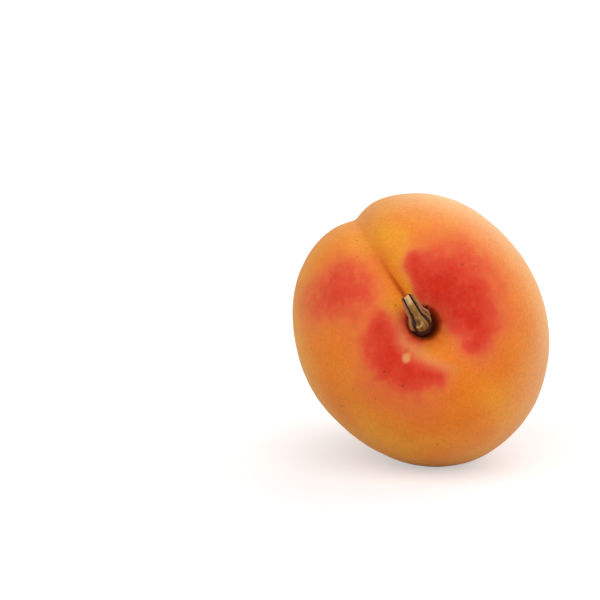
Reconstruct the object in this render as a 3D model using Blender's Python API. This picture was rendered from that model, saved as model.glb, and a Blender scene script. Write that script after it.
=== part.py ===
"""An apricot lying on its side: the whole fruit, and the stub of stem that stays in it when it is picked.

Both pieces are modelled upright in one growth frame, whose +Z runs along the fruit's core towards the stem
and whose +X points at the suture, and are then laid down together by their parent empty. The world frame
is in metres with +Z up. The fruit rests on a small flat spot at Z = 0, with the stem end facing -Y.
"""

import math

import bmesh
import bpy
from mathutils import Matrix, Vector

MM = 0.001

# The fruit: along its core, from cheek to cheek, and from suture to back.
LENGTH = 59.5 * MM
BREADTH = 44.4 * MM
DEPTH = 49.6 * MM
BACK_FULLNESS = 0.3 * MM

# The egg law: half width against height, both as shares, where +1 is the stem end and -1 the tip. Below the
# turn the fruit ends in a blunt cap, above it the sides open out, and the shoulder is fuller than a ball's.
EGG_CAP = 0.735
EGG_TAPER = 0.31
EGG_TURN = -0.68
EGG_TURN_SOFTNESS = 0.15
EGG_SHOULDER = 0.25
EGG_SHOULDER_POWER = 8
TIP_POINT = 0.5 * MM
TIP_POINT_RADIUS = 2.0 * MM

# Where the lobes beside the suture swell past the oval and the cheeks fall short of it, seen from the stem end:
# the height of the change, its bearing round the core from the suture, and its spread.
RIGHT_LOBE = (0.75 * MM, math.radians(-44), math.radians(26))
LEFT_LOBE = (0.30 * MM, math.radians(42), math.radians(20))
LEFT_FLAT = (-0.50 * MM, math.radians(116), math.radians(24))
RIGHT_FLAT = (-0.40 * MM, math.radians(-150), math.radians(34))

# The suture: a furrow whose two lips meet in a sharp valley. It is deep over the shoulder and fades to the tip.
# The whole shoulder is twisted a little round the core, which bends the furrow where it nears the stem.
FURROW_SHOULDER_DEPTH = 2.4 * MM
FURROW_MIDDLE_DEPTH = 1.6 * MM
FURROW_TIP_DEPTH = 0.35 * MM
FURROW_LEFT_REACH = 12.0 * MM
FURROW_RIGHT_REACH = 8.5 * MM
SHOULDER_TWIST = math.radians(3.5)

# The stem cavity: a wide bowl with a steep pit at its centre.
BOWL_DEPTH = 2.8 * MM
BOWL_RADIUS = 7.5 * MM
PIT_DEPTH = 2.8 * MM
PIT_FLOOR_RADIUS = 2.5 * MM
PIT_RIM_RADIUS = 4.5 * MM

# How the fruit lies: the stem end lifted off the level and swung a little, the suture turned up to the left
# of the stem, and the underside pressed flat by its own weight.
STEM_END_LIFT = math.radians(14)
STEM_END_SWING = math.radians(-1)
SUTURE_TURN = math.radians(121)
FLAT_SPOT_DEPTH = 0.60 * MM

# The stem: a collar on the floor of the pit, a swollen knuckle, and a shaft that leans over the shoulder.
STEM_GAP = 0.55 * MM
STEM_RISE = 5.4 * MM
STEM_REACH = 5.3 * MM
STEM_ELBOW = 3.6 * MM
STEM_BEARING = math.radians(0)
COLLAR_RADIUS = 2.05 * MM
KNUCKLE_RADIUS = 1.9 * MM
SHAFT_RADIUS = 1.1 * MM
STEM_RIBS = 7
RIB_HEIGHT = 0.10 * MM

# Mesh fineness.
MERIDIANS = 84
RINGS = 52
MERIDIAN_CROWDING = 0.62
RING_CROWDING = 1.5
STEM_SIDES = 28
STEM_RINGS = 22


def smooth_step(low, high, value):
    """0 below low, 1 above high, and a smooth rise between."""
    share = min(1.0, max(0.0, (value - low) / (high - low)))
    return share * share * (3.0 - 2.0 * share)


def egg_width(height):
    """Half width of the fruit at a height from -1 at the tip to 1 at the stem end, before scaling."""
    above = height - EGG_TURN
    law = EGG_CAP + EGG_TAPER * (above + math.hypot(above, EGG_TURN_SOFTNESS)) / 2
    law += EGG_SHOULDER * max(0.0, height) ** EGG_SHOULDER_POWER
    return math.sqrt(max(0.0, 1.0 - height * height)) * law


WIDEST = max(egg_width(step / 200.0) for step in range(-200, 201))


def swelling(azimuth):
    """How far the skin leaves the plain oval at a bearing round the core."""
    total = 0.0
    for rise, bearing, spread in (RIGHT_LOBE, LEFT_LOBE, LEFT_FLAT, RIGHT_FLAT):
        away = math.remainder(azimuth - bearing, math.tau)
        total += rise * math.exp(-((away / spread) ** 2))
    return total


def furrow_depth(height):
    """How deep the suture is at a height from -1 at the tip to 1 at the stem end."""
    to_middle = smooth_step(-0.95, 0.1, height)
    to_shoulder = smooth_step(0.3, 0.9, height)
    depth = FURROW_TIP_DEPTH + (FURROW_MIDDLE_DEPTH - FURROW_TIP_DEPTH) * to_middle
    return depth + (FURROW_SHOULDER_DEPTH - FURROW_MIDDLE_DEPTH) * to_shoulder


def furrow(height, out, across):
    """Depth of the suture below the full skin, out from the core towards the suture and across from it."""
    reach = FURROW_LEFT_REACH if across > 0.0 else FURROW_RIGHT_REACH
    reach *= 0.45 + 0.55 * smooth_step(-0.9, 0.3, height)
    reach *= 0.35 + 0.65 * smooth_step(2.0 * MM, 14.0 * MM, out)
    lip = max(0.0, 1.0 - abs(across) / reach)
    return furrow_depth(height) * lip**3 * smooth_step(0.5 * MM, 6.0 * MM, out)


def cavity_depth(radius):
    """Depth of the stem cavity at a distance from the core: the bowl and, inside it, the pit."""
    bowl = BOWL_DEPTH * math.exp(-((radius / BOWL_RADIUS) ** 2))
    return bowl + PIT_DEPTH * (1.0 - smooth_step(PIT_FLOOR_RADIUS, PIT_RIM_RADIUS, radius))


def skin_point(polar, azimuth):
    """A point of the skin in the growth frame.

    polar runs from 0 at the stem end to pi at the tip, and azimuth is counted round the core from the suture.
    """
    height = math.cos(polar)
    width = egg_width(height) / WIDEST
    full = swelling(azimuth)
    out = (DEPTH / 2 + full) * width * math.cos(azimuth) - BACK_FULLNESS * width
    across = (BREADTH / 2 + full) * width * math.sin(azimuth)
    point = Vector((out, across, LENGTH / 2 * height))
    point -= point.normalized() * furrow(height, out, across)
    radius = point.xy.length
    if height > 0.0:
        point.z -= cavity_depth(radius)
    else:
        point.z -= TIP_POINT * math.exp(-((radius / TIP_POINT_RADIUS) ** 2))
    turn = SHOULDER_TWIST * smooth_step(0.45, 0.95, height)
    return Matrix.Rotation(turn, 3, "Z") @ point


def crowd_azimuth(azimuth):
    """Draws the meridians together at the suture."""
    return azimuth - MERIDIAN_CROWDING * math.sin(azimuth)


def crowd_polar(polar):
    """Draws the rings together at the stem end."""
    return math.pi * (polar / math.pi) ** RING_CROWDING


def lying_matrix():
    """Turns the growth frame to the way the fruit lies."""
    roll = Matrix.Rotation(SUTURE_TURN, 4, "Z")
    lay_down = Matrix.Rotation(math.pi / 2 - STEM_END_LIFT, 4, "X")
    return Matrix.Rotation(STEM_END_SWING, 4, "Z") @ lay_down @ roll


def polar_of(vertex):
    """Angle of a ball's vertex from its +Z pole."""
    return math.acos(max(-1.0, min(1.0, vertex.co.z)))


def fruit_shape(lying):
    """The fruit as a ball drawn out to its skin, with the flat spot cut off its underside."""
    shape = bmesh.new()
    bmesh.ops.create_uvsphere(shape, u_segments=MERIDIANS, v_segments=RINGS, radius=1.0)
    for vertex in shape.verts:
        azimuth = math.atan2(vertex.co.y, vertex.co.x)
        vertex.co = skin_point(crowd_polar(polar_of(vertex)), crowd_azimuth(azimuth))
    up = lying.to_3x3().transposed() @ Vector((0.0, 0.0, 1.0))
    lowest = min(vertex.co.dot(up) for vertex in shape.verts)
    floor = up * (lowest + FLAT_SPOT_DEPTH)
    whole = [*shape.verts, *shape.edges, *shape.faces]
    cut = bmesh.ops.bisect_plane(shape, geom=whole, plane_co=floor, plane_no=up, clear_inner=True)
    rim = [part for part in cut["geom_cut"] if isinstance(part, bmesh.types.BMEdge)]
    bmesh.ops.edgeloop_fill(shape, edges=rim)
    bmesh.ops.recalc_face_normals(shape, faces=shape.faces)
    return shape


def stem_centre(share):
    """The stem's centre line in the growth frame, from its foot at 0 to its cut end at 1."""
    lean = Vector((math.cos(STEM_BEARING), math.sin(STEM_BEARING), 0.0))
    foot = Vector((0.0, 0.0, LENGTH / 2 - cavity_depth(0.0) + STEM_GAP))
    elbow = foot + Vector((0.0, 0.0, STEM_ELBOW))
    end = foot + lean * STEM_REACH + Vector((0.0, 0.0, STEM_RISE))
    return foot * (1 - share) ** 2 + elbow * 2 * share * (1 - share) + end * share**2


def stem_radius(share):
    """The stem's radius: a collar at the foot, the knuckle, and the shaft with a slightly flared end."""
    collar = COLLAR_RADIUS * (1.0 - 0.55 * smooth_step(0.08, 0.20, share)) * smooth_step(-0.25, 0.06, share)
    knuckle = KNUCKLE_RADIUS * math.exp(-(((share - 0.34) / 0.30) ** 2))
    shaft = SHAFT_RADIUS * (1.0 + 0.08 * smooth_step(0.85, 1.0, share))
    return max(collar, knuckle, shaft)


def stem_point(share, angle, radius):
    """A point round the stem's centre line."""
    ahead = stem_centre(min(1.0, share + 0.01)) - stem_centre(max(0.0, share - 0.01))
    side = Vector((-math.sin(STEM_BEARING), math.cos(STEM_BEARING), 0.0))
    front = side.cross(ahead.normalized())
    return stem_centre(share) + (front * math.cos(angle) + side * math.sin(angle)) * radius


def stem_shape():
    """The stem as a ball drawn out along its centre line: the poles become the middles of its two ends."""
    shape = bmesh.new()
    bmesh.ops.create_uvsphere(shape, u_segments=STEM_SIDES, v_segments=STEM_RINGS, radius=1.0)
    for vertex in shape.verts:
        ring = round(polar_of(vertex) / math.pi * STEM_RINGS)
        share = min(1.0, max(0.0, 1.0 - (ring - 1) / (STEM_RINGS - 2)))
        angle = math.atan2(vertex.co.y, vertex.co.x)
        radius = stem_radius(share) + RIB_HEIGHT * math.cos(STEM_RIBS * angle)
        vertex.co = stem_point(share, angle, 0.0 if ring in (0, STEM_RINGS) else radius)
    bmesh.ops.recalc_face_normals(shape, faces=shape.faces)
    return shape


def make_material(name, colour, roughness):
    """A plain Principled material; colour is linear red, green and blue."""
    material = bpy.data.materials.new(name)
    material.use_nodes = True
    shader = material.node_tree.nodes["Principled BSDF"]
    shader.inputs["Base Color"].default_value = (*colour, 1.0)
    shader.inputs["Roughness"].default_value = roughness
    shader.inputs["Metallic"].default_value = 0.0
    return material


def add_object(name, shape, material, parent):
    """Turns a bmesh into a smooth-shaded object under parent."""
    mesh = bpy.data.meshes.new(name)
    shape.to_mesh(mesh)
    shape.free()
    mesh.shade_smooth()
    mesh.materials.append(material)
    made = bpy.data.objects.new(name, mesh)
    bpy.context.scene.collection.objects.link(made)
    made.parent = parent
    return made


def resting_place(pieces, lying):
    """Where the parent goes, so that the pieces stand on Z = 0 with their box centred on the world's Z axis."""
    points = [lying @ vertex.co for piece in pieces for vertex in piece.data.vertices]
    low = Vector([min(point[axis] for point in points) for axis in range(3)])
    high = Vector([max(point[axis] for point in points) for axis in range(3)])
    return Vector((-(low.x + high.x) / 2, -(low.y + high.y) / 2, -low.z))


def main():
    """Clears the scene and builds the apricot."""
    for old in list(bpy.data.objects):
        bpy.data.objects.remove(old)
    lying = lying_matrix()
    apricot = bpy.data.objects.new("apricot", None)
    bpy.context.scene.collection.objects.link(apricot)
    skin = make_material("apricot_skin", (0.80, 0.24, 0.03), 0.55)
    bark = make_material("dry_bark", (0.22, 0.12, 0.04), 0.8)
    fruit = add_object("fruit", fruit_shape(lying), skin, apricot)
    stem = add_object("stem", stem_shape(), bark, apricot)
    apricot.matrix_world = Matrix.Translation(resting_place((fruit, stem), lying)) @ lying


main()
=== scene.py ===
"""The finished look of the apricot: skin with suture, hollow, blush and freckles, and a dry stub of stem.

Shapes are drawn in the growth frame of the fruit, in metres: +Z along the core towards the stem, +X towards
the suture, +Y to the left of the suture when the stem end is faced. Each piece is then laid down into the
world frame, where it rests on Z = 0 with the stem end facing -Y.
"""

import logging
import math
from dataclasses import dataclass
from enum import Enum
from typing import Any

import bmesh
import bpy
from mathutils import Matrix, Vector, noise


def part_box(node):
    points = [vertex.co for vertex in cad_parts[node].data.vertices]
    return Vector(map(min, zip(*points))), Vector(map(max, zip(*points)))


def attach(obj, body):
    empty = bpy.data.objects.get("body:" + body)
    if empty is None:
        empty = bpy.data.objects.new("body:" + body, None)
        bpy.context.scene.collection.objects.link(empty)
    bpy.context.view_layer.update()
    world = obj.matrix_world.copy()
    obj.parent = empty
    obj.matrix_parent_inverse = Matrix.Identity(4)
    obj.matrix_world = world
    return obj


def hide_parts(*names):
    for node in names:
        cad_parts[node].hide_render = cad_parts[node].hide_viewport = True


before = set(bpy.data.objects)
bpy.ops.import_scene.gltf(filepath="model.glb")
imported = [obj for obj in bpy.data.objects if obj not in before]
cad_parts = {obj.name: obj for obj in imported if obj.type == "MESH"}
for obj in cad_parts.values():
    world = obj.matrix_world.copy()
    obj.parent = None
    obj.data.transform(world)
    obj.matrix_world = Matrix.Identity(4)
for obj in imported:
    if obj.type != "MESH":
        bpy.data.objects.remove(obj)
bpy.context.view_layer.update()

LOG = logging.getLogger("apricot")
MM = 0.001

# Sockets of a Mix node that mixes colours.
MIX_FACTOR, MIX_FIRST, MIX_SECOND, MIX_COLOUR = 0, 6, 7, 2

# The painted fields of each piece: numbers from 0 to 1 on its vertices, which its material reads by name.
SKIN_FIELDS = ("blush", "rust_and_painted_shade", "pit_shade_and_stain", "cork_and_lip_highlight", "shade_side", "painted_sheen")
STALK_FIELDS = ("foot", "peeled_and_rim_highlight", "ridge", "hollow", "pith", "groove_shade")


def smooth_step(low: float, high: float, value: float) -> float:
    """Rises smoothly from 0 at low to 1 at high, and stays level on either side."""
    share = min(1.0, max(0.0, (value - low) / (high - low)))
    return share * share * (3.0 - 2.0 * share)


def bell(distance: float, width: float) -> float:
    """A bell curve: 1 at no distance, falling off over width."""
    return math.exp(-((distance / width) ** 2))


def ripple(point: Vector, size: float, seed: float = 0.0) -> float:
    """Smooth noise from about -1 to 1, in swells of a size in metres. The seed sets two ripples apart."""
    return noise.noise(point / size + Vector((seed, seed * 0.37, -seed)))


def paint(code: str) -> tuple[float, float, float, float]:
    """Turns an sRGB hex colour into linear red, green, blue and an alpha of 1.

    Args:
        code: six hex digits after a hash.

    Returns:
        The linear colour.
    """
    parts = [int(code[place : place + 2], 16) / 255 for place in (1, 3, 5)]
    red, green, blue = (c / 12.92 if c <= 0.04045 else ((c + 0.055) / 1.055) ** 2.4 for c in parts)
    return red, green, blue, 1.0


def add_node(tree: bpy.types.NodeTree, kind: str, inputs: dict | None = None, **settings: Any) -> Any:
    """Adds one shader node with its settings and links.

    Args:
        tree: the node tree that takes it.
        kind: the node's type name.
        inputs: for a socket's name or number, its value, or the output that feeds it.
        settings: the node's own properties. A colour ramp takes stops, as pairs of place and colour.

    Returns:
        The new node.
    """
    node = tree.nodes.new(kind)
    for place, (at, colour) in enumerate(settings.pop("stops", [])):
        stops = node.color_ramp.elements
        stop = stops[place] if place < len(stops) else stops.new(at)
        stop.position, stop.color = at, colour
    for name, value in settings.items():
        setattr(node, name, value)
    for name, value in (inputs or {}).items():
        if isinstance(value, bpy.types.NodeSocket):
            tree.links.new(value, node.inputs[name])
        else:
            node.inputs[name].default_value = value
    return node


class Flank(Enum):
    """The two sides of the suture, as the stem end is faced with the suture upwards."""

    LEFT = 1
    RIGHT = -1


@dataclass(frozen=True)
class Swelling:
    """A long swelling or hollow of the skin, at one bearing round the core."""

    rise: float
    bearing: float
    spread: float

    def height(self, azimuth: float) -> float:
        """How far it lifts the skin at a bearing round the core."""
        return self.rise * bell(math.remainder(azimuth - self.bearing, math.tau), self.spread)


@dataclass(frozen=True)
class Knot:
    """One stop of a stroke: degrees down from the stem end, degrees round from the suture, half width."""

    down: float
    bearing: float
    half_width: float

    def spot(self) -> Vector:
        """Its place on a flat chart of the stem end, in degrees."""
        turn = math.radians(self.bearing)
        return Vector((self.down * math.cos(turn), self.down * math.sin(turn)))


@dataclass(frozen=True)
class Stroke:
    """A blush stroke through its knots: how strong it is, and over how many degrees its edge fades."""

    knots: tuple[Knot, ...]
    strength: float
    fade: float

    def cover(self, spot: Vector) -> float:
        """How much of the blush lies on a spot of the stem-end chart, from 0 to its strength.

        Args:
            spot: the place on the chart, in degrees.

        Returns:
            The cover.
        """
        best = -1e9
        for first, second in zip(self.knots, self.knots[1:]):
            start, run = first.spot(), second.spot() - first.spot()
            share = min(1.0, max(0.0, (spot - start).dot(run) / run.length_squared))
            reach = first.half_width + (second.half_width - first.half_width) * share
            best = max(best, reach - (spot - start - run * share).length)
        return self.strength * smooth_step(-self.fade, self.fade, best)


def union(strokes: tuple[Stroke, ...], spot: Vector) -> float:
    """How much of a spot several strokes cover together.

    Args:
        strokes: the strokes.
        spot: the place on the chart, in degrees.

    Returns:
        The cover, from 0 to 1.
    """
    bare = 1.0
    for stroke in strokes:
        bare *= 1.0 - stroke.cover(spot)
    return 1.0 - bare


@dataclass(frozen=True)
class Blush:
    """Where the skin is marked round the stem end: the red blush, and a painted highlight on the lower lip of
    the pit.
    """

    red: tuple[Stroke, ...] = (
        # The bow right of the stem, with a crisp edge by the suture and a wide, faint outer edge.
        Stroke(
            (
                Knot(19.5, -22, 2.3),
                Knot(16, -40, 5.6),
                Knot(15, -60, 7.0),
                Knot(14.8, -85, 7.4),
                Knot(15.8, -110, 6.8),
                Knot(17.8, -126, 4.8),
                Knot(18.2, -138, 3.2),
            ),
            0.94,
            5.5,
        ),
        Stroke((Knot(22, -22, 2.6), Knot(13, -30, 3.6)), 0.60, 2.6),
        Stroke(
            (
                Knot(25, -28, 4),
                Knot(24, -60, 11),
                Knot(22, -90, 11),
                Knot(21, -115, 11),
                Knot(20, -140, 8),
            ),
            0.40,
            9.0,
        ),
        Stroke((Knot(33, -36, 6), Knot(32, -60, 12), Knot(30, -85, 12)), 0.22, 14.0),
        Stroke((Knot(12, -40, 4), Knot(9, -95, 5)), 0.50, 4.5),
        # The bow left of the stem.
        Stroke(
            (
                Knot(14.5, 62, 3.0),
                Knot(15.5, 85, 4.8),
                Knot(17, 115, 5.4),
                Knot(17.6, 142, 4.4),
                Knot(18.6, 165, 2.2),
            ),
            0.92,
            5.0,
        ),
        Stroke((Knot(20, 80, 8), Knot(24, 112, 11), Knot(25, 145, 8)), 0.42, 11.0),
        # The paler patch on the shoulder left of the suture.
        Stroke((Knot(23, 33, 5), Knot(31, 38, 7)), 0.42, 9.0),
        Stroke((Knot(30, 11, 4), Knot(33, 32, 14), Knot(41, 46, 12)), 0.46, 11.0),
        # The rim of the pit, left of the stem.
        Stroke((Knot(7, 40, 2.2), Knot(7.5, 75, 2.4), Knot(6.5, 130, 1.8)), 0.62, 3.0),
        # A soft glow on the sunny flank, and a fainter one beside the suture, both towards the tip.
        Stroke((Knot(104, -78, 26), Knot(112, -122, 28)), 0.27, 26.0),
        Stroke((Knot(100, 36, 16), Knot(125, 50, 16)), 0.24, 24.0),
    )
    # A painted highlight: a pale streak along the lower lip of the pit, where it faces the light.
    painted_lip_highlight: tuple[Stroke, ...] = (
        Stroke(
            (
                Knot(9, 72, 0.8),
                Knot(10, 100, 1.5),
                Knot(10.3, 130, 1.8),
                Knot(13, 158, 1.6),
                Knot(19, 182, 0.8),
            ),
            0.42,
            2.8,
        ),
    )


@dataclass(frozen=True)
class FruitForm:
    """The fruit's shape: its solid's, but the pit closes in on the stalk and the suture has softer lips."""

    length: float = 59.5 * MM
    breadth: float = 44.4 * MM
    depth: float = 49.6 * MM
    back_fullness: float = 0.3 * MM
    cap: float = 0.735
    taper: float = 0.31
    turn: float = -0.68
    turn_softness: float = 0.15
    shoulder: float = 0.25
    shoulder_power: int = 8
    tip_point: float = 0.5 * MM
    tip_point_radius: float = 2.0 * MM
    swellings: tuple[Swelling, ...] = (
        Swelling(0.75 * MM, math.radians(-44), math.radians(26)),
        Swelling(0.30 * MM, math.radians(42), math.radians(20)),
        Swelling(-0.50 * MM, math.radians(116), math.radians(24)),
        Swelling(-0.40 * MM, math.radians(-150), math.radians(34)),
    )
    furrow_shoulder_depth: float = 2.4 * MM
    furrow_middle_depth: float = 1.6 * MM
    furrow_tip_depth: float = 0.35 * MM
    furrow_left_reach: float = 12.0 * MM
    furrow_right_reach: float = 8.5 * MM
    furrow_rounding: float = 1.1 * MM
    shoulder_twist: float = math.radians(3.5)
    bowl_depth: float = 2.8 * MM
    bowl_radius: float = 7.5 * MM
    pit_depth: float = 2.8 * MM
    pit_floor_radius: float = 1.7 * MM
    pit_rim_radius: float = 3.3 * MM
    stem_end_lift: float = math.radians(14)
    stem_end_swing: float = math.radians(-1)
    suture_turn: float = math.radians(121)
    flat_spot_depth: float = 0.60 * MM

    def raw_width(self, height: float) -> float:
        """Half width before scaling.

        Args:
            height: from -1 at the tip to 1 at the stem end.

        Returns:
            The half width there.
        """
        above = height - self.turn
        law = self.cap + self.taper * (above + math.hypot(above, self.turn_softness)) / 2
        law += self.shoulder * max(0.0, height) ** self.shoulder_power
        return math.sqrt(max(0.0, 1.0 - height * height)) * law

    def widest(self) -> float:
        """The largest half width before scaling."""
        return max(self.raw_width(step / 200.0) for step in range(-200, 201))

    def furrow_depth(self, height: float) -> float:
        """How deep the suture is at its middle.

        Args:
            height: from -1 at the tip to 1 at the stem end.

        Returns:
            The depth, in metres.
        """
        to_middle = smooth_step(-0.95, 0.1, height)
        to_shoulder = smooth_step(0.3, 0.9, height)
        depth = self.furrow_tip_depth + (self.furrow_middle_depth - self.furrow_tip_depth) * to_middle
        return depth + (self.furrow_shoulder_depth - self.furrow_middle_depth) * to_shoulder

    def furrow(self, height: float, out: float, across: float) -> float:
        """Depth of the suture below the full skin.

        Args:
            height: from -1 at the tip to 1 at the stem end.
            out: distance from the core towards the suture.
            across: distance from the suture's plane, positive to its left.

        Returns:
            The depth, 0 away from the suture.
        """
        flank = Flank.LEFT if across > 0.0 else Flank.RIGHT
        reach = self.furrow_left_reach if flank is Flank.LEFT else self.furrow_right_reach
        reach *= 0.45 + 0.55 * smooth_step(-0.9, 0.3, height)
        reach *= 0.35 + 0.65 * smooth_step(2.0 * MM, 14.0 * MM, out)
        rounding = self.furrow_rounding * (1.0 - smooth_step(0.78, 0.93, height))
        lip = max(0.0, (reach - math.hypot(across, rounding)) / (reach - rounding))
        return self.furrow_depth(height) * lip**3 * smooth_step(0.5 * MM, 6.0 * MM, out)

    def twist(self, height: float) -> float:
        """How far the shoulder turns the suture round the core, at a height from -1 to 1."""
        return self.shoulder_twist * smooth_step(0.45, 0.95, height)

    def cavity_depth(self, radius: float) -> float:
        """Depth of the hollow at the stem end, at a distance from the core."""
        bowl = self.bowl_depth * bell(radius, self.bowl_radius)
        return bowl + self.pit_depth * (1.0 - smooth_step(self.pit_floor_radius, self.pit_rim_radius, radius))

    def skin_point(self, polar: float, azimuth: float, widest: float) -> Vector:
        """A point of the skin in the growth frame.

        Args:
            polar: angle from 0 at the stem end to pi at the tip.
            azimuth: bearing round the core from the suture.
            widest: what widest() gives.

        Returns:
            The point, in metres.
        """
        height = math.cos(polar)
        width = self.raw_width(height) / widest
        full = sum(swelling.height(azimuth) for swelling in self.swellings)
        out = (self.depth / 2 + full) * width * math.cos(azimuth) - self.back_fullness * width
        across = (self.breadth / 2 + full) * width * math.sin(azimuth)
        point = Vector((out, across, self.length / 2 * height))
        point -= point.normalized() * self.furrow(height, out, across)
        radius = point.xy.length
        if height > 0.0:
            point.z -= self.cavity_depth(radius)
        else:
            point.z -= self.tip_point * bell(radius, self.tip_point_radius)
        return Matrix.Rotation(self.twist(height), 3, "Z") @ point

    def lying(self) -> Matrix:
        """Turns the growth frame to the way the fruit lies.

        Returns:
            The turn, without a shift.
        """
        roll = Matrix.Rotation(self.suture_turn, 4, "Z")
        lay_down = Matrix.Rotation(math.pi / 2 - self.stem_end_lift, 4, "X")
        return Matrix.Rotation(self.stem_end_swing, 4, "Z") @ lay_down @ roll


@dataclass(frozen=True)
class SkinRelief:
    """What the solid leaves out: slow swells, fine unevenness, the pit's folds, the crease and the scar."""

    swell: float = 0.12 * MM
    swell_size: float = 8.0 * MM
    dimple: float = 0.045 * MM
    dimple_size: float = 2.4 * MM
    grain: float = 0.008 * MM
    grain_size: float = 0.8 * MM
    crease_cut: float = 0.16 * MM
    crease_width: float = 0.28 * MM
    pit_folds: int = 11
    pit_fold_height: float = 0.07 * MM
    pit_fold_radius: float = 3.6 * MM
    pit_fold_spread: float = 1.2 * MM
    pit_fold_end: float = 9.0 * MM
    scar_depth: float = 0.05 * MM

    def height(self, point: Vector, crease: float, scar: float) -> float:
        """How far the skin stands above the plain form.

        Args:
            point: the place in the growth frame.
            crease: 1 on the crease line of the suture, 0 away from it.
            scar: 1 in a scar, 0 away from it.

        Returns:
            The relief, in metres.
        """
        rise = self.swell * ripple(point, self.swell_size)
        rise += self.dimple * ripple(point, self.dimple_size, 5.0)
        rise += self.grain * ripple(point, self.grain_size, 9.0)
        radius, bearing = point.xy.length, math.atan2(point.y, point.x)
        if point.z > 0.0 and radius < self.pit_fold_end:
            wander = 3.0 * ripple(point, 3.0 * MM, 2.0)
            fold = math.cos(self.pit_folds * bearing + wander)
            fold *= bell(radius - self.pit_fold_radius, self.pit_fold_spread)
            rise += self.pit_fold_height * fold
        return rise - self.crease_cut * crease - self.scar_depth * scar


class Down(Enum):
    """How much of the skin's down shows as a pale sheen: all of it outside, none in the pit."""

    VELVET = 0.20
    BARE = 0.0


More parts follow.
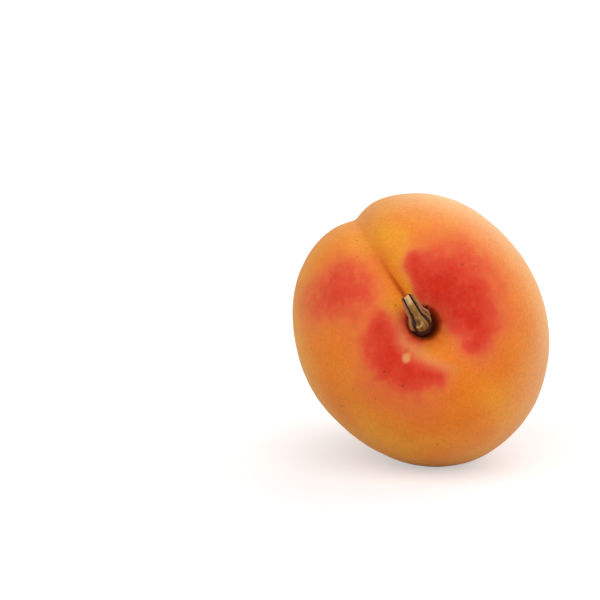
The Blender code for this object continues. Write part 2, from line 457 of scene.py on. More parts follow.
@dataclass(frozen=True)
class ApricotSkin:
    """Ripe apricot skin: a thin, velvety skin over juicy flesh.

    The flesh under it scatters light, the down on it lifts the rim with a soft pale sheen, and the blush is
    stippled into the orange rather than laid on flat.
    """

    orange: str = "#F0861A"
    yellow: str = "#F49E1E"
    amber: str = "#E97812"
    salmon: str = "#E97446"
    scarlet: str = "#E24A2C"
    red: str = "#D42606"
    # Rust: painted shade along the crease, in the suture's furrow and round the pit, and real rust on a speck
    # and the tip scar.
    rust_and_painted_shade: str = "#C44406"
    # Wine: painted shade in the pit, and real stain on a speck and the tip scar.
    wine_stain_and_shade: str = "#640A02"
    freckle: str = "#8E3A10"
    # Cork: the real corky scar, and a painted highlight on the lower lip of the pit.
    cork_and_lip_highlight: str = "#E2A468"
    # Painted sheen: the peach that the top and the right flank are lightened towards.
    sheen_peach: str = "#FBCA8E"

    def material(self, down: Down) -> bpy.types.Material:
        """The skin's material, on object coordinates and the skin's own painted fields.

        Args:
            down: whether the skin there has its down.

        Returns:
            The material.
        """
        made = bpy.data.materials.new(f"ripe_apricot_skin_{down.name.lower()}")
        made.use_nodes = True
        tree = made.node_tree
        shader = tree.nodes["Principled BSDF"]
        place = add_node(tree, "ShaderNodeTexCoord").outputs["Object"]

        # Two patterns run through the whole skin: mottling 2.2 mm wide, and stipple 0.45 mm wide.
        mottle = add_node(
            tree,
            "ShaderNodeTexNoise",
            {"Vector": place, "Scale": 1 / (2.2 * MM), "Detail": 3.0, "Roughness": 0.6},
        ).outputs["Fac"]
        stipple = add_node(
            tree, "ShaderNodeTexNoise", {"Vector": place, "Scale": 1 / (0.45 * MM), "Detail": 2.0}
        ).outputs["Fac"]

        skin = self.ground(tree, place)
        skin = self.blushed(tree, skin, mottle, stipple)
        skin = self.velvety(tree, skin, stipple)
        skin = self.freckled(tree, skin, place)
        skin = self.marked(tree, skin)
        tree.links.new(skin, shader.inputs["Base Color"])
        tree.links.new(self.unevenness(tree, place, mottle), shader.inputs["Normal"])
        shader.inputs["Roughness"].default_value = 0.58
        shader.inputs["IOR"].default_value = 1.42
        shader.inputs["Specular IOR Level"].default_value = 0.24
        shader.inputs["Subsurface Weight"].default_value = 0.20
        shader.inputs["Subsurface Radius"].default_value = (1.0, 0.30, 0.08)
        shader.inputs["Subsurface Scale"].default_value = 2.0 * MM
        shader.inputs["Sheen Weight"].default_value = down.value
        shader.inputs["Sheen Roughness"].default_value = 0.42
        shader.inputs["Sheen Tint"].default_value = paint("#FFE4CC")
        return made

    def ground(self, tree: bpy.types.NodeTree, place: bpy.types.NodeSocket) -> bpy.types.NodeSocket:
        """The ground colour: from yellow on the shaded side to amber, in clouds 12 mm wide, under a painted
        sheen.

        Args:
            tree: the material's node tree.
            place: the output that gives the place on the skin.

        Returns:
            The output that gives the colour.
        """
        drift = add_node(tree, "ShaderNodeTexNoise", {"Vector": place, "Scale": 1 / (12 * MM), "Detail": 3.0})
        shade_side = add_node(tree, "ShaderNodeAttribute", attribute_name="shade_side").outputs["Fac"]
        ripeness = add_node(
            tree,
            "ShaderNodeMath",
            {0: shade_side, 1: -0.40, 2: drift.outputs["Fac"]},
            operation="MULTIPLY_ADD",
        )
        colour = add_node(
            tree,
            "ShaderNodeValToRGB",
            {"Fac": ripeness.outputs[0]},
            stops=[(0.22, paint(self.yellow)), (0.48, paint(self.orange)), (0.70, paint(self.amber))],
        ).outputs["Color"]

        # Painted sheen: the top and the right flank are painted paler, towards peach, where the lights catch
        # the down.
        painted_sheen = add_node(tree, "ShaderNodeAttribute", attribute_name="painted_sheen").outputs["Fac"]
        return add_node(
            tree,
            "ShaderNodeMix",
            {MIX_FACTOR: painted_sheen, MIX_FIRST: colour, MIX_SECOND: paint(self.sheen_peach)},
            data_type="RGBA",
        ).outputs[MIX_COLOUR]

    def blushed(
        self,
        tree: bpy.types.NodeTree,
        skin: bpy.types.NodeSocket,
        mottle: bpy.types.NodeSocket,
        stipple: bpy.types.NodeSocket,
    ) -> bpy.types.NodeSocket:
        """Lays the red blush over the skin. Mottling and stipple thin and thicken it, and fray its edge.

        Args:
            tree: the material's node tree.
            skin: the colour under the blush.
            mottle: the wide pattern.
            stipple: the fine pattern.

        Returns:
            The output that gives the colour.
        """
        blush = add_node(tree, "ShaderNodeAttribute", attribute_name="blush").outputs["Fac"]
        clouds = add_node(tree, "ShaderNodeMath", {0: mottle, 1: 0.85, 2: 0.115}, operation="MULTIPLY_ADD")
        flecks = add_node(
            tree, "ShaderNodeMath", {0: stipple, 1: 0.80, 2: clouds.outputs[0]}, operation="MULTIPLY_ADD"
        )
        cover = add_node(
            tree, "ShaderNodeMath", {0: blush, 1: flecks.outputs[0]}, operation="MULTIPLY"
        ).outputs[0]
        reds = add_node(
            tree,
            "ShaderNodeValToRGB",
            {"Fac": cover},
            stops=[(0.18, paint(self.salmon)), (0.56, paint(self.scarlet)), (1.00, paint(self.red))],
        ).outputs["Color"]
        amount = add_node(
            tree,
            "ShaderNodeMapRange",
            {"Value": cover, "From Min": -0.05, "From Max": 0.60},
            interpolation_type="SMOOTHSTEP",
        ).outputs["Result"]
        return add_node(
            tree,
            "ShaderNodeMix",
            {MIX_FACTOR: amount, MIX_FIRST: skin, MIX_SECOND: reds},
            data_type="RGBA",
        ).outputs[MIX_COLOUR]

    def velvety(
        self, tree: bpy.types.NodeTree, skin: bpy.types.NodeSocket, stipple: bpy.types.NodeSocket
    ) -> bpy.types.NodeSocket:
        """Down and pores: makes the skin a little lighter and darker from speck to speck.

        Args:
            tree: the material's node tree.
            skin: the colour under the down.
            stipple: the fine pattern.

        Returns:
            The output that gives the colour.
        """
        velvet = add_node(
            tree,
            "ShaderNodeMapRange",
            {"Value": stipple, "From Min": 0.30, "From Max": 0.70, "To Min": 0.91, "To Max": 1.08},
        ).outputs["Result"]
        return add_node(
            tree, "ShaderNodeVectorMath", {0: skin, "Scale": velvet}, operation="SCALE"
        ).outputs["Vector"]

    def freckled(
        self, tree: bpy.types.NodeTree, skin: bpy.types.NodeSocket, place: bpy.types.NodeSocket
    ) -> bpy.types.NodeSocket:
        """Puts the freckles on: brown specks up to 0.5 mm across, scattered a few millimetres apart.

        Args:
            tree: the material's node tree.
            skin: the colour between the freckles.
            place: the output that gives the place on the skin.

        Returns:
            The output that gives the colour.
        """
        # Cells 3.4 mm wide fill the space. A freckle shows where the middle of a cell lies in the skin.
        cells = add_node(tree, "ShaderNodeTexVoronoi", {"Vector": place, "Scale": 1 / (3.4 * MM)})
        luck = add_node(tree, "ShaderNodeSeparateColor", {"Color": cells.outputs["Color"]}).outputs["Red"]
        size = add_node(
            tree,
            "ShaderNodeMapRange",
            {"Value": luck, "From Min": 0.10, "From Max": 1.0, "To Min": 0.03, "To Max": 0.085},
        ).outputs["Result"]
        inside = add_node(
            tree, "ShaderNodeMath", {0: size, 1: cells.outputs["Distance"]}, operation="SUBTRACT"
        ).outputs[0]
        speck = add_node(
            tree,
            "ShaderNodeMapRange",
            {"Value": inside, "From Min": -0.02, "From Max": 0.05, "To Max": 0.75},
            interpolation_type="SMOOTHSTEP",
        ).outputs["Result"]
        return add_node(
            tree,
            "ShaderNodeMix",
            {MIX_FACTOR: speck, MIX_FIRST: skin, MIX_SECOND: paint(self.freckle)},
            data_type="RGBA",
        ).outputs[MIX_COLOUR]

    def marked(self, tree: bpy.types.NodeTree, skin: bpy.types.NodeSocket) -> bpy.types.NodeSocket:
        """Lays on rust, a wine-dark colour and cork: painted shade along the crease, in the furrow and in and
        round the pit, a painted highlight on the pit's lower lip, and real rust, stain and cork on the speck,
        the tip and the scar.

        Args:
            tree: the material's node tree.
            skin: the colour under the marks.

        Returns:
            The output that gives the colour.
        """
        # Painted shade in rust and wine, and a painted highlight in cork, over the real marks.
        for field, colour, strength in (
            ("rust_and_painted_shade", self.rust_and_painted_shade, 0.90),
            ("pit_shade_and_stain", self.wine_stain_and_shade, 0.88),
            ("cork_and_lip_highlight", self.cork_and_lip_highlight, 0.70),
        ):
            mark = add_node(tree, "ShaderNodeAttribute", attribute_name=field).outputs["Fac"]
            mark = add_node(
                tree, "ShaderNodeMath", {0: mark, 1: strength}, operation="MULTIPLY", use_clamp=True
            ).outputs[0]
            skin = add_node(
                tree,
                "ShaderNodeMix",
                {MIX_FACTOR: mark, MIX_FIRST: skin, MIX_SECOND: paint(colour)},
                data_type="RGBA",
            ).outputs[MIX_COLOUR]
        return skin

    def unevenness(
        self, tree: bpy.types.NodeTree, place: bpy.types.NodeSocket, mottle: bpy.types.NodeSocket
    ) -> bpy.types.NodeSocket:
        """The skin's own bump: pores 0.35 mm apart under the down, and the mottling.

        Args:
            tree: the material's node tree.
            place: the output that gives the place on the skin.
            mottle: the wide pattern.

        Returns:
            The output that gives the normal.
        """
        pores = add_node(
            tree, "ShaderNodeTexNoise", {"Vector": place, "Scale": 1 / (0.35 * MM), "Detail": 2.0}
        ).outputs["Fac"]
        fine = add_node(tree, "ShaderNodeBump", {"Height": pores, "Strength": 0.40, "Distance": 0.04 * MM})
        return add_node(
            tree,
            "ShaderNodeBump",
            {"Height": mottle, "Strength": 0.35, "Distance": 0.08 * MM, "Normal": fine.outputs["Normal"]},
        ).outputs["Normal"]


@dataclass(frozen=True)
class DryStalk:
    """A dead stub of fruit stalk: shrunken, ridged bark, pale wood where it has split and peeled, and painted
    shade and highlight.
    """

    bark: str = "#94641E"
    bark_dark: str = "#66360E"
    bark_light: str = "#B4863C"
    # Groove: painted shade in the grooves between the ribs.
    groove_shade: str = "#3A0F06"
    ridge: str = "#B06A4A"
    # Wood: the real peeled and cut wood, and a painted highlight on the lit lip of the knuckle's hollow.
    wood_and_rim_highlight: str = "#E2B27C"
    pith: str = "#98915F"
    # Hollow: painted shade in the hollow on the knuckle.
    hollow: str = "#5A3C08"
    foot: str = "#4A1714"

    def material(self) -> bpy.types.Material:
        """The stalk's material, on its own map, with U round it and V along it, and its painted fields.

        Returns:
            The material.
        """
        made = bpy.data.materials.new("dry_fruit_stalk")
        made.use_nodes = True
        tree = made.node_tree
        shader = tree.nodes["Principled BSDF"]
        place = add_node(tree, "ShaderNodeTexCoord").outputs["Object"]
        grain_map = add_node(tree, "ShaderNodeUVMap", uv_map="grain").outputs["UV"]

        # Fibres run along the stalk: 0.2 mm wide and 2 mm long.
        fibres = add_node(tree, "ShaderNodeMapping", {"Vector": grain_map, "Scale": (40.0, 4.0, 1.0)})
        streak = add_node(
            tree, "ShaderNodeTexNoise", {"Vector": fibres.outputs["Vector"], "Scale": 1.0, "Detail": 3.0}
        ).outputs["Fac"]
        speckle = add_node(
            tree, "ShaderNodeTexNoise", {"Vector": place, "Scale": 1 / (0.45 * MM), "Detail": 2.0}
        ).outputs["Fac"]
        colour = add_node(
            tree,
            "ShaderNodeValToRGB",
            {"Fac": streak},
            stops=[(0.30, paint(self.bark_dark)), (0.50, paint(self.bark)), (0.72, paint(self.bark_light))],
        ).outputs["Color"]
        tree.links.new(self.weathered(tree, colour, speckle), shader.inputs["Base Color"])
        rough = add_node(tree, "ShaderNodeBump", {"Height": streak, "Strength": 0.6, "Distance": 0.08 * MM})
        pitted = add_node(
            tree,
            "ShaderNodeBump",
            {"Height": speckle, "Strength": 0.4, "Distance": 0.06 * MM, "Normal": rough.outputs["Normal"]},
        )
        tree.links.new(pitted.outputs["Normal"], shader.inputs["Normal"])
        shader.inputs["Roughness"].default_value = 0.55
        shader.inputs["IOR"].default_value = 1.45
        return made

    def weathered(
        self, tree: bpy.types.NodeTree, bark: bpy.types.NodeSocket, speckle: bpy.types.NodeSocket
    ) -> bpy.types.NodeSocket:
        """Lays the painted fields over the bark, each with an edge that the speckle makes ragged.

        Args:
            tree: the material's node tree.
            bark: the colour of the bark.
            speckle: the fine pattern.

        Returns:
            The output that gives the colour.
        """
        colour = bark
        # The groove and hollow fields are painted shade. The peeled field also holds a painted highlight on
        # the hollow's lip.
        for field, tone in (
            ("foot", self.foot),
            ("peeled_and_rim_highlight", self.wood_and_rim_highlight),
            ("ridge", self.ridge),
            ("hollow", self.hollow),
            ("pith", self.pith),
            ("groove_shade", self.groove_shade),
        ):
            worn = add_node(tree, "ShaderNodeAttribute", attribute_name=field).outputs["Fac"]
            ragged = add_node(tree, "ShaderNodeMath", {0: speckle, 1: 0.5, 2: worn}, operation="MULTIPLY_ADD")
            share = add_node(
                tree,
                "ShaderNodeMapRange",
                {"Value": ragged.outputs[0], "From Min": 0.40, "From Max": 1.10},
                interpolation_type="SMOOTHSTEP",
            ).outputs["Result"]
            colour = add_node(
                tree,
                "ShaderNodeMix",
                {MIX_FACTOR: share, MIX_FIRST: colour, MIX_SECOND: paint(tone)},
                data_type="RGBA",
            ).outputs[MIX_COLOUR]
        return colour


@dataclass(frozen=True)
class LightTable:
    """A sheet of white acrylic lit from below, as a light table is.

    The glow keeps the shadow under the fruit light. It is kept out of the light that the fruit receives, so
    that the underside still falls into shade.
    """

    white: str = "#F4F4F4"
    grey: str = "#D6D6D6"
    acrylic: float = 0.60
    glow: float = 0.54

    def material(self) -> bpy.types.Material:
        """The floor's material.

        Returns:
            The material.
        """
        made = bpy.data.materials.new("lit_white_acrylic")
        made.use_nodes = True
        tree = made.node_tree
        seen = tree.nodes["Principled BSDF"]
        tone = self.acrylic
        seen.inputs["Base Color"].default_value = (tone, tone, tone, 1.0)
        seen.inputs["Roughness"].default_value = 0.9
        seen.inputs["Specular IOR Level"].default_value = 0.0
        seen.inputs["Emission Color"].default_value = paint(self.white)
        seen.inputs["Emission Strength"].default_value = self.glow
        around = add_node(tree, "ShaderNodeBsdfDiffuse", {"Color": paint(self.grey)})
        ray = add_node(tree, "ShaderNodeLightPath").outputs["Is Camera Ray"]
        both = add_node(
            tree, "ShaderNodeMixShader", {0: ray, 1: around.outputs["BSDF"], 2: seen.outputs["BSDF"]}
        )
        tree.links.new(both.outputs["Shader"], tree.nodes["Material Output"].inputs["Surface"])
        return made


def add_piece(name: str, shape: bmesh.types.BMesh, material: bpy.types.Material) -> bpy.types.Object:
    """Turns a bmesh in world coordinates into a smooth-shaded object at the origin.

    Args:
        name: the object's name.
        shape: the bmesh, which is freed.
        material: its finish.

    Returns:
        The object.
    """
    mesh = bpy.data.meshes.new(name)
    shape.to_mesh(mesh)
    shape.free()
    mesh.shade_smooth()
    mesh.materials.append(material)
    made = bpy.data.objects.new(name, mesh)
    bpy.context.scene.collection.objects.link(made)
    return made


def polar_of(vertex: bmesh.types.BMVert) -> float:
    """Angle of a ball's vertex from its +Z pole."""
    return math.acos(max(-1.0, min(1.0, vertex.co.z)))


@dataclass(frozen=True)
class Ground:
    """Where the ground colour drifts: yellow on the shaded side and by the suture, and a painted sheen on the
    other.
    """

    shaded_bearing: float = math.radians(95)
    ridge_bearing: float = -0.22
    ridge_width: float = 0.20
    ridge_strength: float = 0.85
    painted_sheen_bearing: float = math.radians(-88)
    painted_sheen_clouds: float = 13.0 * MM

    def yellow(self, bearing: float, down: float) -> float:
        """How yellow the ground is.

        Args:
            bearing: the angle round the core from the suture.
            down: degrees down from the stem end.

        Returns:
            A share from 0 to 1.
        """
        side = 0.5 + 0.5 * math.cos(bearing - self.shaded_bearing)
        ridge = bell(bearing - self.ridge_bearing, self.ridge_width) * smooth_step(8.0, 14.0, down)
        ridge = ridge * self.ridge_strength * (1.0 - smooth_step(27.0, 46.0, down))
        return max(side * smooth_step(25.0, 70.0, down), ridge)

    def painted_sheen_share(self, point: Vector, bearing: float, down: float) -> float:
        """How much painted sheen lightens the ground: most on the top and right flank, where the lights catch
        the down.

        Args:
            point: the place in the growth frame.
            bearing: the angle round the core from the suture.
            down: degrees down from the stem end.

        Returns:
            A share from 0 to 1.
        """
        painted_sheen = 0.05 + 0.65 * smooth_step(-0.6, 0.9, math.cos(bearing - self.painted_sheen_bearing))
        painted_sheen *= 1.0 + 0.5 * ripple(point, self.painted_sheen_clouds, 6.0)
        return painted_sheen * smooth_step(28.0, 64.0, down) * (1.0 - 0.75 * smooth_step(80.0, 160.0, down))


@dataclass(frozen=True)
class Marks:
    """The small marks of the skin: where each lies round the core, and between which distances it fades."""

    pit_middle: tuple[float, float] = (-0.60 * MM, -0.20 * MM)
    # Ring, stain and shade: painted shade round and in the pit, centred a little off the core.
    ring: tuple[float, float] = (1.8 * MM, 5.0 * MM)
    pit_shade_and_stain: tuple[float, float] = (1.2 * MM, 3.0 * MM)
    shade: tuple[float, float] = (3.0 * MM, 6.5 * MM)
    tip: tuple[float, float] = (0.2 * MM, 0.9 * MM)
    speck_place: tuple[float, float] = (-2.4 * MM, 4.9 * MM)
    speck_width: float = 0.45 * MM
    scar_place: tuple[float, float] = (-3.45 * MM, 5.6 * MM)
    scar_turn: float = math.radians(31)
    scar_edge: tuple[float, float] = (0.35 * MM, 1.00 * MM)
    scar_unevenness: float = 0.18 * MM

    def scar(self, point: Vector) -> float:
        """1 inside the square corky scar below the stem, 0 away from it.

        Args:
            point: the place in the growth frame.

        Returns:
            How much of the scar is there.
        """
        if point.z < 0.0:
            return 0.0
        patch = Matrix.Rotation(self.scar_turn, 2) @ (point.xy - Vector(self.scar_place))
        across = (abs(patch.x) ** 3 + abs(patch.y) ** 3) ** (1 / 3)
        across += self.scar_unevenness * ripple(point, 0.9 * MM, 3.0)
        return 1.0 - smooth_step(*self.scar_edge, across)

    def browning(self, point: Vector) -> tuple[float, float]:
        """How much rust and how much wine-dark colour the marks leave: painted shade in and round the pit,
        and real rust and stain on the speck and the tip scar.

        Args:
            point: the place in the growth frame.

        Returns:
            The rust and the stain, each from 0 to 1.
        """
        if point.z <= 0.0:
            tip = 1.0 - smooth_step(*self.tip, point.xy.length)
            return 0.7 * tip, 0.35 * tip
        spread = (point.xy - Vector(self.pit_middle)).length
        # Painted shade round and in the pit: the ring, the stain and the shade.
        ring = 1.0 - smooth_step(*self.ring, spread)
        pit_shade_and_stain = 1.0 - smooth_step(*self.pit_shade_and_stain, spread)
        shade = 1.0 - smooth_step(*self.shade, spread)
        speck = bell((point.xy - Vector(self.speck_place)).length, self.speck_width)
        return max(0.75 * ring, 0.6 * speck), max(pit_shade_and_stain, 0.22 * speck, 0.13 * shade)


@dataclass(frozen=True)
class Fruit:
    """The skin of the whole fruit."""

    form: FruitForm = FruitForm()
    relief: SkinRelief = SkinRelief()
    blush: Blush = Blush()
    ground: Ground = Ground()
    marks: Marks = Marks()
    finish: ApricotSkin = ApricotSkin()
    meridians: int = 336
    rings: int = 264
    meridian_crowding: float = 0.60
    ring_crowding: float = 1.30
    bare_margin: float = 0.2 * MM

    def crease(self, point: Vector, down: float) -> float:
        """1 on the crease line of the suture, 0 away from it and on the back.

        Args:
            point: the place in the growth frame.
            down: degrees down from the stem end.

        Returns:
            How much of the crease is there.
        """
        height = min(1.0, max(-1.0, point.z / (self.form.length / 2)))
        straight = Matrix.Rotation(-self.form.twist(height), 3, "Z") @ point
        if straight.x < 0.0:
            return 0.0
        line = bell(straight.y, self.relief.crease_width) * smooth_step(2.5 * MM, 5.0 * MM, straight.x)
        fade = 1.0 - 0.80 * smooth_step(16.0, 34.0, down) + 0.30 * smooth_step(60.0, 85.0, down)
        return line * fade

    def fields(self, point: Vector, down: float, crease: float) -> dict[str, float]:
        """The painted fields of the skin at a point.

        Args:
            point: the place in the growth frame.
            down: degrees down from the stem end.
            crease: how much of the crease of the suture is there.

        Returns:
            Each field's name and its value there, from 0 to 1.
        """
        bearing = math.atan2(point.y, point.x)
        warp = ripple(point, 5.0 * MM, 4.0), ripple(point, 5.0 * MM, 7.0)
        spot = Vector((down * math.cos(bearing) + warp[0], down * math.sin(bearing) + warp[1]))
        # Painted shade: a darker band down the suture's furrow.
        furrow_shade = bell(point.y, 1.6 * MM) * smooth_step(4.0 * MM, 9.0 * MM, point.x)
        furrow_shade *= 1.0 - smooth_step(25.0, 60.0, down)
        scar = self.marks.scar(point)
        # A painted highlight on the lower lip of the pit, laid on in the cork colour.
        painted_lip_highlight = union(self.blush.painted_lip_highlight, spot) if point.z > 0.0 else 0.0
        rust_and_painted_shade, pit_shade_and_stain = self.marks.browning(point)
        return {
            "blush": union(self.blush.red, spot) * (1.0 - 0.7 * scar),
            # Rust: painted shade on the crease, in the furrow and round the pit, and real rust on the speck
            # and the tip.
            "rust_and_painted_shade": max(0.75 * crease, 0.16 * furrow_shade, rust_and_painted_shade),
            "pit_shade_and_stain": pit_shade_and_stain,
            "cork_and_lip_highlight": max(scar, painted_lip_highlight),
            "shade_side": self.ground.yellow(bearing, down),
            # Painted sheen on the top and the right flank.
            "painted_sheen": self.ground.painted_sheen_share(point, bearing, down),
        }

    def shape(self) -> bmesh.types.BMesh:
        """The skin in the growth frame, as a ball drawn out to the plain form.

        Returns:
            The bmesh.
        """
        widest = self.form.widest()
        shape = bmesh.new()
        bmesh.ops.create_uvsphere(shape, u_segments=self.meridians, v_segments=self.rings, radius=1.0)
        for vertex in shape.verts:
            polar = math.pi * (polar_of(vertex) / math.pi) ** self.ring_crowding
            azimuth = math.atan2(vertex.co.y, vertex.co.x)
            azimuth -= self.meridian_crowding * math.sin(azimuth)
            vertex.co = self.form.skin_point(polar, azimuth, widest)
        bmesh.ops.recalc_face_normals(shape, faces=shape.faces)
        return shape

    def placed(self, shape: bmesh.types.BMesh) -> Matrix:
        """Where the growth frame lies in the world, so that the plain form matches the solid.

        Args:
            shape: the plain form in the growth frame.

        Returns:
            The matrix from the growth frame to the world.
        """
        lying = self.form.lying()
        points = [lying @ vertex.co for vertex in shape.verts]
        low = Vector([min(point[axis] for point in points) for axis in range(3)])
        high = Vector([max(point[axis] for point in points) for axis in range(3)])
        solid_low, solid_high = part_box("fruit")
        shift = (Vector(solid_low) + Vector(solid_high) - low - high) / 2
        shift.z = -low.z - self.form.flat_spot_depth
        return Matrix.Translation(shift) @ lying

    def build(self) -> tuple[bpy.types.Object, Matrix]:
        """Makes the skin and puts it in the place of the fruit's solid.

        Returns:
            The skin, and the matrix from the growth frame to the world.
        """
        shape = self.shape()
        place = self.placed(shape)
        bare_radius = self.form.pit_rim_radius + self.bare_margin
        for face in shape.faces:
            middle = face.calc_center_median()
            face.material_index = int(middle.z > 0.0 and middle.xy.length < bare_radius)
        layers = {name: shape.verts.layers.float.new(name) for name in SKIN_FIELDS}
        normals = [vertex.normal.copy() for vertex in shape.verts]
        for vertex, normal in zip(shape.verts, normals):
            down = math.degrees(math.atan2(vertex.co.xy.length, vertex.co.z))
            crease = self.crease(vertex.co, down)
            for name, value in self.fields(vertex.co, down, crease).items():
                vertex[layers[name]] = value
            lift = self.relief.height(vertex.co, crease, self.marks.scar(vertex.co))
            vertex.co = place @ (vertex.co + normal * lift)
            vertex.co.z = max(0.0, vertex.co.z)
        skin = add_piece("skin", shape, self.finish.material(Down.VELVET))
        skin.data.materials.append(self.finish.material(Down.BARE))
        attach(skin, "root")
        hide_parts("fruit")
        return skin, place


@dataclass(frozen=True)
class Rib:
    """A rib along the stalk, or a groove where its height is negative. Angles are in degrees from its top."""

    angle: float
    half_width: float
    height: float
    wander: float = 4.0

    def rise(self, share: float, degrees: float, seed: float) -> float:
        """How far it lifts the bark at an angle round the stalk.

        Args:
            share: from 0 at the foot to 1 at the cut end.
            degrees: the angle from the stalk's top, positive to the left.
            seed: keeps its wander apart from its neighbours'.

        Returns:
            The height, in metres.
        """
        drift = self.wander * noise.noise(Vector((seed, share * 3.0, 0.5)))
        swell = 1.0 + 0.5 * noise.noise(Vector((share * 5.0, seed, 2.5)))
        away = math.remainder(degrees - self.angle - drift, 360.0)
        return self.height * swell * bell(away, self.half_width)


@dataclass(frozen=True)
class BudScale:
    """A dry bud scale: a thin pointed cone pressed flat and curled over beside the knuckle."""

    length: float = 2.2 * MM
    root_radius: float = 0.80 * MM
    point_radius: float = 0.08 * MM
    flatness: float = 0.35
    curl: float = 0.5 * MM
    edge: float = 0.5 * MM
    stands: tuple[float, float, float] = (1.55 * MM, -1.95 * MM, 1.2 * MM)
    swing: float = math.radians(-50)
    lean: float = math.radians(58)

    def shape(self, foot: Vector, place: Matrix) -> bmesh.types.BMesh:
        """The scale in the world, with the stalk's painted fields.

        Args:
            foot: the point of the stalk's centre line that it stands beside.
            place: the matrix from the growth frame to the world.

        Returns:
            The bmesh.
        """
        shape = bmesh.new()
        bmesh.ops.create_cone(
            shape,
            cap_ends=True,
            segments=24,
            radius1=self.root_radius,
            radius2=self.point_radius,
            depth=self.length,
        )
        long_edges = [
            side for side in shape.edges if abs(side.verts[0].co.z - side.verts[1].co.z) > self.length / 4
        ]
        bmesh.ops.subdivide_edges(shape, edges=long_edges, cuts=12)
        layers = {name: shape.verts.layers.float.new(name) for name in STALK_FIELDS}
        shape.loops.layers.uv.new("grain")
        turn = Matrix.Rotation(self.swing, 4, "Z") @ Matrix.Rotation(self.lean, 4, "Y")
        root = foot + Vector(self.stands)
        for vertex in shape.verts:
            rise = vertex.co.z / self.length + 0.5
            vertex.co.x *= self.flatness
            vertex.co.x -= self.curl * rise * rise
            vertex[layers["foot"]] = 1.0
            vertex[layers["ridge"]] = 0.8 * smooth_step(0.35, 0.9, abs(vertex.co.y) / self.edge)
            vertex.co = place @ (root + turn @ vertex.co)
        bmesh.ops.recalc_face_normals(shape, faces=shape.faces)
        return shape


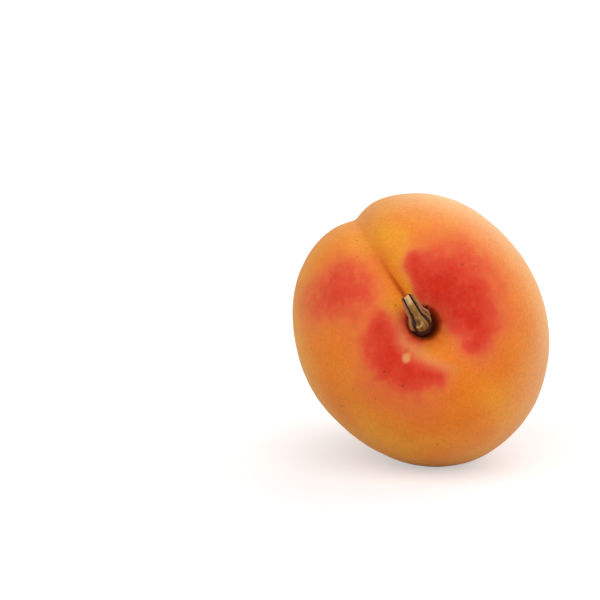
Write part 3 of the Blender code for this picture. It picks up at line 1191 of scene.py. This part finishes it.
@dataclass(frozen=True)
class Stem:
    """The stub of stalk: a split, ribbed shaft on a knuckle and a dark foot, with one dry scale beside it."""

    gap: float = 0.55 * MM
    off_core: tuple[float, float] = (0.24 * MM, 0.36 * MM)
    rise: float = 5.4 * MM
    reach: float = 5.3 * MM
    elbow: float = 3.6 * MM
    bearing: float = 0.0
    foot_radius: float = 2.05 * MM
    knuckle_radius: float = 1.70 * MM
    knuckle_share: float = 0.34
    knuckle_spread: float = 0.26
    shaft_radius: float = 1.20 * MM
    joining_power: float = 7.0
    bark_roughness: float = 0.06 * MM
    slant: float = -0.07
    boss_share: float = 0.40
    boss_end: float = 0.75
    boss_radius: float = 1.98 * MM
    boss_margin: float = 0.6 * MM
    boss_power: int = 8
    hollow_lean: tuple[float, float, float] = (-0.26, 0.38, 1.0)
    hollow_depth: float = 0.42 * MM
    hollow_spread: float = 0.50 * MM
    hollow_radius: float = 0.85 * MM
    hollow_lip_height: float = 0.20 * MM
    hollow_lip_spread: float = 0.18 * MM
    hollow_lip_side: tuple[float, float, float] = (-0.97, -0.24, 0.0)
    sides: int = 168
    rings: int = 170
    cap_rings: int = 9
    finish: DryStalk = DryStalk()
    scale: BudScale = BudScale()
    scale_share: float = 0.20
    ribs: tuple[Rib, ...] = (
        Rib(45, 10, -0.40 * MM),
        Rib(68, 10, 0.34 * MM),
        Rib(-42, 11, -0.44 * MM),
        Rib(-60, 8, 0.18 * MM),
        Rib(-77, 8, -0.30 * MM),
        Rib(-96, 11, 0.34 * MM),
        Rib(-135, 12, -0.22 * MM),
        Rib(168, 14, -0.25 * MM),
        Rib(120, 10, -0.25 * MM),
    )

    def centre(self, share: float, form: FruitForm) -> Vector:
        """The stalk's centre line in the growth frame.

        Args:
            share: from 0 at the foot to 1 at the cut end.
            form: the fruit's shape, which gives the floor of the pit.

        Returns:
            The point, in metres.
        """
        lean = Vector((math.cos(self.bearing), math.sin(self.bearing), 0.0))
        foot = Vector((*self.off_core, form.length / 2 - form.cavity_depth(0.0) + self.gap))
        elbow = foot + Vector((0.0, 0.0, self.elbow))
        end = foot + lean * self.reach + Vector((0.0, 0.0, self.rise))
        return foot * (1 - share) ** 2 + elbow * 2 * share * (1 - share) + end * share**2

    def radius(self, share: float) -> float:
        """The stalk's plain radius.

        Args:
            share: from 0 at the foot to 1 at the cut end.

        Returns:
            The radius, in metres.
        """
        foot = self.foot_radius * (1.0 - 0.55 * smooth_step(0.08, 0.20, share))
        foot *= smooth_step(-0.25, 0.06, share)
        knuckle = self.knuckle_radius * bell(share - self.knuckle_share, self.knuckle_spread)
        shaft = self.shaft_radius * (1.0 - 0.22 * smooth_step(0.70, 1.0, share))
        power = self.joining_power
        return (foot**power + knuckle**power + shaft**power) ** (1 / power)

    def point(self, share: float, angle: float, radius: float, form: FruitForm) -> Vector:
        """A point round the centre line.

        Args:
            share: from 0 at the foot to 1 at the cut end.
            angle: from 0 at the stalk's top, away from the fruit.
            radius: how far from the centre line.
            form: the fruit's shape, which gives the floor of the pit.

        Returns:
            The point, in metres.
        """
        ahead = self.centre(share + 0.01, form) - self.centre(share - 0.01, form)
        side = Vector((-math.sin(self.bearing), math.cos(self.bearing), 0.0))
        top = ahead.normalized().cross(side)
        return self.centre(share, form) + (top * math.cos(angle) + side * math.sin(angle)) * radius

    def build(self, form: FruitForm, place: Matrix) -> tuple[bpy.types.Object, ...]:
        """Makes the stalk and its scale, in the place of the stem's solid.

        Args:
            form: the fruit's shape, which gives the floor of the pit.
            place: the matrix from the growth frame to the world.

        Returns:
            The stalk and the scale.
        """
        material = self.finish.material()
        stalk = add_piece("stalk", self.stalk_shape(form, place), material)
        scale_foot = self.centre(self.scale_share, form)
        scale = add_piece("bud_scale", self.scale.shape(scale_foot, place), material)
        for piece in (stalk, scale):
            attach(piece, "root")
        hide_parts("stem")
        return stalk, scale

    def fields(
        self, share: float, degrees: float, inward: float, lift: float, from_hollow: Vector
    ) -> dict[str, float]:
        """The painted fields of the stalk.

        Args:
            share: from 0 at the foot to 1 at the cut end.
            degrees: the angle from the stalk's top, positive to the left.
            inward: 1 on the bark, falling to 0 at the middle of either end.
            lift: how far the ribs lift the bark there, in metres.
            from_hollow: the way from the hollow on the knuckle, in metres.

        Returns:
            Each field's name and its value there, from 0 to 1.
        """
        facing = 0.5 + 0.5 * math.cos(math.radians(degrees))
        on_end = share >= 1.0
        face = smooth_step(0.78, 0.96, share) * smooth_step(0.78, 0.90, facing)
        away = from_hollow.length
        below = from_hollow.dot(Vector(self.hollow_lip_side)) / max(away, 0.01 * MM)
        # A painted highlight on the lip of the hollow, on its lit side only.
        rim = bell(away - self.hollow_radius, 0.24 * MM) * smooth_step(-0.1, 0.6, below)
        spot = bell(share - 0.93, 0.05) * bell(degrees - 16.0, 16.0)
        return {
            "foot": 1.0 - smooth_step(0.12, 0.22, share),
            "peeled_and_rim_highlight": 0.75 if on_end else max(face, 0.55 * rim),
            "ridge": min(1.0, max(0.0, lift) / (0.20 * MM)) * smooth_step(0.15, 0.35, share) * inward,
            # Painted shade in the hollow on the knuckle.
            "hollow": bell(away, 0.55 * MM),
            "pith": 0.8 * max(spot, bell(inward, 0.35) if on_end else 0.0),
            # Painted shade in the grooves between the ribs.
            "groove_shade": min(1.0, max(0.0, -lift) / (0.22 * MM)) * smooth_step(0.8, 1.0, inward),
        }

    def ribbing(self, share: float, degrees: float, inward: float) -> float:
        """How far the ribs and grooves lift the bark.

        Args:
            share: from 0 at the foot to 1 at the cut end.
            degrees: the angle from the stalk's top, positive to the left.
            inward: 1 on the bark, falling to 0 at the middle of either end.

        Returns:
            The height, in metres.
        """
        lift = sum(rib.rise(share, degrees, row * 3.1) for row, rib in enumerate(self.ribs))
        lift *= smooth_step(0.10, 0.50, share) * inward
        return lift * (1.0 - 0.75 * smooth_step(0.86, 0.97, share) if lift > 0.0 else 1.0)

    def on_shaft(self, share: float, angle: float, inward: float, lift: float, form: FruitForm) -> Vector:
        """A point of the shaft's rough bark, with the slant and the ragged edge of the cut end.

        Args:
            share: from 0 at the foot to 1 at the cut end.
            angle: from 0 at the stalk's top, away from the fruit.
            inward: 1 on the bark, falling to 0 at the middle of either end.
            lift: how far the ribs lift the bark there, in metres.
            form: the fruit's shape, which gives the floor of the pit.

        Returns:
            The point in the growth frame.
        """
        round_it = Vector((math.cos(angle) * 2, math.sin(angle) * 2, share * 12))
        along = share - self.slant * (0.5 + 0.5 * math.cos(angle) * inward) * smooth_step(0.6, 1.0, share)
        along -= 0.05 * smooth_step(0.6, 1.0, share)
        along += 0.012 * noise.noise(round_it * 2) * smooth_step(0.9, 1.0, share)
        radius = self.radius(share) + lift + self.bark_roughness * noise.noise(round_it)
        return self.point(along, angle, radius * inward, form)

    def on_knuckle(self, spot: Vector, share: float, lift: float, boss: Vector, hollow: Vector) -> Vector:
        """Swells the shaft out to its round knuckle, and sinks the hollow and raises its lip there.

        Args:
            spot: the point on the shaft.
            share: from 0 at the foot to 1 at the cut end.
            lift: how far the ribs lift the bark there, in metres.
            boss: the middle of the knuckle.
            hollow: the middle of the hollow.

        Returns:
            The point on the finished stalk.
        """
        from_boss = spot - boss
        if share < self.boss_end and from_boss.length < self.boss_radius + self.boss_margin:
            power = self.boss_power
            full = (from_boss.length**power + (self.boss_radius + 0.8 * lift) ** power) ** (1 / power)
            spot = boss + from_boss.normalized() * full
        away = (spot - hollow).length
        sunk = self.hollow_depth * bell(away, self.hollow_spread)
        sunk -= self.hollow_lip_height * bell(away - self.hollow_radius, self.hollow_lip_spread)
        return spot - (spot - boss).normalized() * sunk

    def stalk_shape(self, form: FruitForm, place: Matrix) -> bmesh.types.BMesh:
        """The stalk as a ball drawn out along its centre line, with its ribs, slanted end and painted fields.

        Args:
            form: the fruit's shape, which gives the floor of the pit.
            place: the matrix from the growth frame to the world.

        Returns:
            The bmesh.
        """
        shape = bmesh.new()
        bmesh.ops.create_uvsphere(shape, u_segments=self.sides, v_segments=self.rings, radius=1.0)
        layers = {name: shape.verts.layers.float.new(name) for name in STALK_FIELDS}
        grain = shape.loops.layers.uv.new("grain")
        body = self.rings - 2 * self.cap_rings
        boss = self.centre(self.boss_share, form)
        hollow = boss + Vector(self.hollow_lean).normalized() * self.boss_radius
        where = {}
        for vertex in shape.verts:
            ring = round(polar_of(vertex) / math.pi * self.rings)
            angle = math.atan2(vertex.co.y, vertex.co.x)
            degrees = math.degrees(angle)
            share = 1.0 - min(1.0, max(0.0, (ring - self.cap_rings) / body))
            inward = min(1.0, ring / self.cap_rings, (self.rings - ring) / self.cap_rings)
            where[vertex] = (angle / math.tau + 0.5, share)
            lift = self.ribbing(share, degrees, inward)
            spot = self.on_shaft(share, angle, inward, lift, form)
            spot = self.on_knuckle(spot, share, lift, boss, hollow)
            for name, value in self.fields(share, degrees, inward, lift, spot - hollow).items():
                vertex[layers[name]] = value
            vertex.co = place @ spot
        for face in shape.faces:
            for loop in face.loops:
                loop[grain].uv = where[loop.vert]
        bmesh.ops.recalc_face_normals(shape, faces=shape.faces)
        return shape


@dataclass(frozen=True)
class SoftLight:
    """One broad, soft light: its name, strength, how wide it looks from the fruit, and where it stands."""

    name: str
    strength: float
    spread: float
    stands: tuple[float, float, float]

    def build(self) -> None:
        """Hangs the light."""
        lamp = bpy.data.lights.new(self.name, "SUN")
        lamp.energy = self.strength
        lamp.angle = self.spread
        holder = bpy.data.objects.new(self.name, lamp)
        holder.rotation_mode = "QUATERNION"
        holder.rotation_quaternion = Vector(self.stands).to_track_quat("Z", "Y")
        bpy.context.scene.collection.objects.link(holder)


@dataclass(frozen=True)
class Studio:
    """A light table in a bright room, with soft boxes above the front, behind, and at both sides."""

    floor_radius: float = 4.0
    room_light: float = 0.29
    lights: tuple[SoftLight, ...] = (
        SoftLight("front_box", 1.46, math.radians(70), (-0.15, -0.60, 0.75)),
        SoftLight("back_box", 1.25, math.radians(65), (0.45, 0.60, 0.62)),
        SoftLight("left_box", 0.46, math.radians(70), (-0.9, -0.35, 0.45)),
        SoftLight("right_box", 0.98, math.radians(70), (1.0, -0.45, 0.25)),
    )
    distance: float = 0.470
    lens: float = 155.6
    elevation: float = math.radians(10)
    aim: tuple[float, float, float] = (-0.0215, 0.0, 0.02805)
    finish: LightTable = LightTable()

    def build(self) -> None:
        """Makes the floor, the lights and the camera."""
        shape = bmesh.new()
        bmesh.ops.create_circle(shape, cap_ends=True, segments=96, radius=self.floor_radius)
        floor = add_piece("floor", shape, self.finish.material())
        self.light_room()
        for light in self.lights:
            light.build()
        self.place_camera()

    def light_room(self) -> None:
        """Even white light from all round."""
        world = bpy.data.worlds.new("bright_room")
        world.use_nodes = True
        background = world.node_tree.nodes["Background"]
        background.inputs["Color"].default_value = (1.0, 1.0, 1.0, 1.0)
        background.inputs["Strength"].default_value = self.room_light
        bpy.context.scene.world = world

    def place_camera(self) -> None:
        """The camera, a little above the fruit and facing its stem end."""
        lens = bpy.data.cameras.new("camera")
        lens.lens, lens.sensor_width = self.lens, 36.0
        lens.clip_start, lens.clip_end = 0.01, 20.0
        camera = bpy.data.objects.new("camera", lens)
        back = Vector((0.0, -math.cos(self.elevation), math.sin(self.elevation)))
        camera.location = Vector(self.aim) + back * self.distance
        camera.rotation_mode = "QUATERNION"
        camera.rotation_quaternion = back.to_track_quat("Z", "Y")
        bpy.context.scene.collection.objects.link(camera)
        bpy.context.scene.camera = camera


def main() -> None:
    """Builds the fruit, the stem and the studio, in that order, and reports each piece."""
    logging.basicConfig(level=logging.INFO, format="%(name)s: %(message)s")
    bpy.context.scene.view_settings.view_transform = "Standard"
    fruit = Fruit()
    skin, place = fruit.build()
    for piece in (skin, *Stem().build(fruit.form, place)):
        LOG.info("%s: %d faces", piece.name, len(piece.data.polygons))
    Studio().build()


if __name__ == "__main__":
    main()
